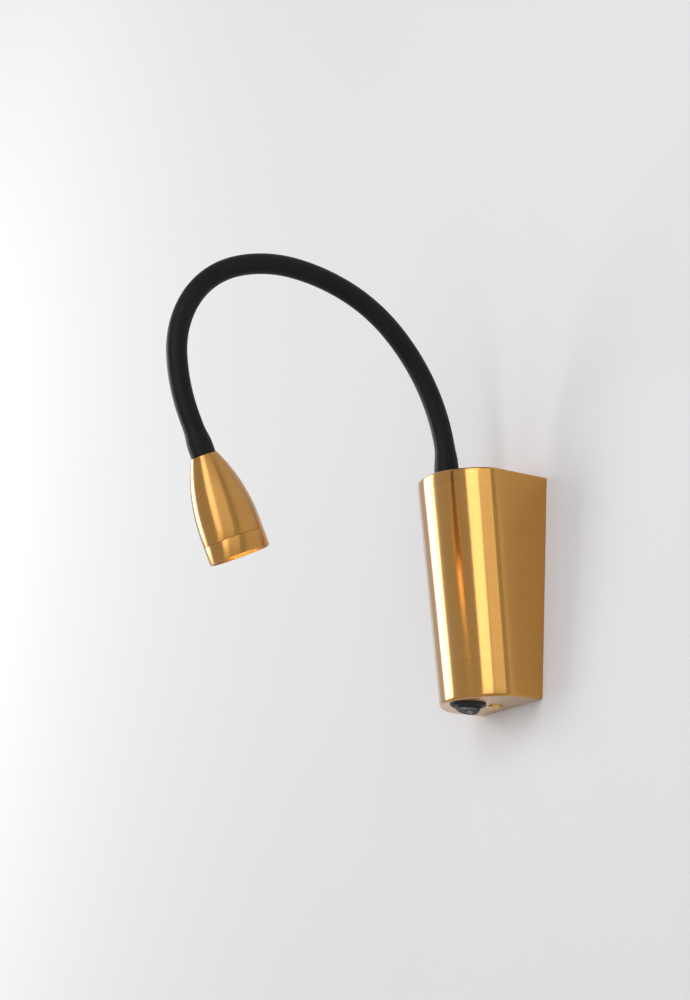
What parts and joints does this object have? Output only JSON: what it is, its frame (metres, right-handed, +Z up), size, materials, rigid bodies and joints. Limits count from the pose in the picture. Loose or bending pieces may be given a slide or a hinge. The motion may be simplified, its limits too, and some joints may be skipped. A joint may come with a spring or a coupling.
{
  "type": "bedside wall reading lamp",
  "caption": "Bedside wall reading lamp: tapered brushed brass wall base with a rocker switch underneath, flexible black gooseneck and a small bullet-shaped LED spot head.",
  "frame": {"origin": "midway between the two wall screw holes, on the plane of the wall", "axes": "+Y into the wall along the wall screws, +Z up, so the lamp stands out of the wall towards -Y"},
  "size_m": [0.069, 0.1885, 0.2184],
  "materials": {
    "brass": "fine brushed, satin lacquer",
    "brass_screw": "polished",
    "steel": "zinc plated",
    "black_rubber": "smooth matte",
    "black_plastic": "matte",
    "white_plastic": "matte",
    "bare_aluminium": "turned",
    "emitter": "phosphor coating",
    "clear_lens": "clear moulded",
    "wire_insulation": "extruded",
    "earth_insulation": "extruded"
  },
  "bodies": {
    "base": {"base_cover": "brass", "wall_bracket": "steel", "cover_screw": "brass_screw", "earth_lug": "steel", "earth_screw": "steel", "driver_case": "white_plastic", "driver_screws": "steel", "terminal_block": "white_plastic", "terminal_screws": "steel", "supply_leads": "wire_insulation", "switch_leads": "wire_insulation", "output_leads": "wire_insulation", "earth_lead": "earth_insulation", "switch_body": "black_plastic", "switch_terminals": "steel", "neck_nipple": "steel", "neck_washer": "steel", "neck_nut": "steel", "neck_sleeve_foot": "black_rubber", "neck_core_foot": "steel", "neck_wires_foot": "wire_insulation"},
    "neck_link_1": {"neck_sleeve_1": "black_rubber", "neck_core_1": "steel", "neck_wires_1": "wire_insulation"},
    "neck_link_2": {"neck_sleeve_2": "black_rubber", "neck_core_2": "steel", "neck_wires_2": "wire_insulation"},
    "neck_link_3": {"neck_sleeve_3": "black_rubber", "neck_core_3": "steel", "neck_wires_3": "wire_insulation"},
    "neck_link_4": {"neck_sleeve_4": "black_rubber", "neck_core_4": "steel", "neck_wires_4": "wire_insulation"},
    "neck_link_5": {"neck_sleeve_5": "black_rubber", "neck_core_5": "steel", "neck_wires_5": "wire_insulation"},
    "neck_link_6": {"neck_sleeve_6": "black_rubber", "neck_core_6": "steel", "neck_wires_6": "wire_insulation"},
    "neck_link_7": {"neck_sleeve_7": "black_rubber", "neck_core_7": "steel", "neck_wires_7": "wire_insulation"},
    "neck_link_8": {"neck_sleeve_8": "black_rubber", "neck_core_8": "steel", "neck_wires_8": "wire_insulation"},
    "head": {"neck_sleeve_tip": "black_rubber", "neck_core_tip": "steel", "neck_wires_tip": "wire_insulation", "head_nipple": "steel", "head_shell": "brass", "heat_sink": "bare_aluminium", "led_board": "white_plastic", "led_emitter": "emitter", "board_screws": "steel", "head_leads": "wire_insulation", "lens": "clear_lens", "lens_holder": "white_plastic", "lens_gasket": "black_rubber", "front_ring": "brass"},
    "rocker": {"switch_rocker": "black_plastic"}
  },
  "joints": [
    {"name": "neck_bend_1", "type": "hinge", "parent": "base", "child": "neck_link_1", "pos_m": [0, -0.03902, 0.07467], "axis": [1, 0, 0], "range_deg": [-16, 6]},
    {"name": "neck_side_1", "type": "hinge", "parent": "neck_link_1", "child": "neck_link_2", "pos_m": [0, -0.04974, 0.10364], "axis": [0, -0.8763, -0.4818], "range_deg": [-25, 25]},
    {"name": "neck_bend_2", "type": "hinge", "parent": "neck_link_2", "child": "neck_link_3", "pos_m": [0, -0.06833, 0.12831], "axis": [1, 0, 0], "range_deg": [-28, 6]},
    {"name": "neck_bend_3", "type": "hinge", "parent": "neck_link_3", "child": "neck_link_4", "pos_m": [0, -0.09385, 0.14559], "axis": [1, 0, 0], "range_deg": [-26, 6]},
    {"name": "neck_bend_4", "type": "hinge", "parent": "neck_link_4", "child": "neck_link_5", "pos_m": [0, -0.12377, 0.15321], "axis": [1, 0, 0], "range_deg": [-30, 4]},
    {"name": "neck_bend_5", "type": "hinge", "parent": "neck_link_5", "child": "neck_link_6", "pos_m": [0, -0.15417, 0.14883], "axis": [1, 0, 0], "range_deg": [-38, 2]},
    {"name": "neck_bend_6", "type": "hinge", "parent": "neck_link_6", "child": "neck_link_7", "pos_m": [0, -0.17696, 0.12874], "axis": [1, 0, 0], "range_deg": [-38, 2]},
    {"name": "neck_side_2", "type": "hinge", "parent": "neck_link_7", "child": "neck_link_8", "pos_m": [0, -0.18313, 0.09883], "axis": [0, 0.9954, 0.0958], "range_deg": [-25, 25]},
    {"name": "neck_bend_7", "type": "hinge", "parent": "neck_link_8", "child": "head", "pos_m": [0, -0.1753, 0.06897], "axis": [1, 0, 0], "range_deg": [-30, 8]},
    {"name": "rocker_hinge", "type": "hinge", "parent": "base", "child": "rocker", "pos_m": [0, -0.024, -0.0551], "axis": [-0.866, -0.5, 0], "range_deg": [-24, 0]}
  ]
}
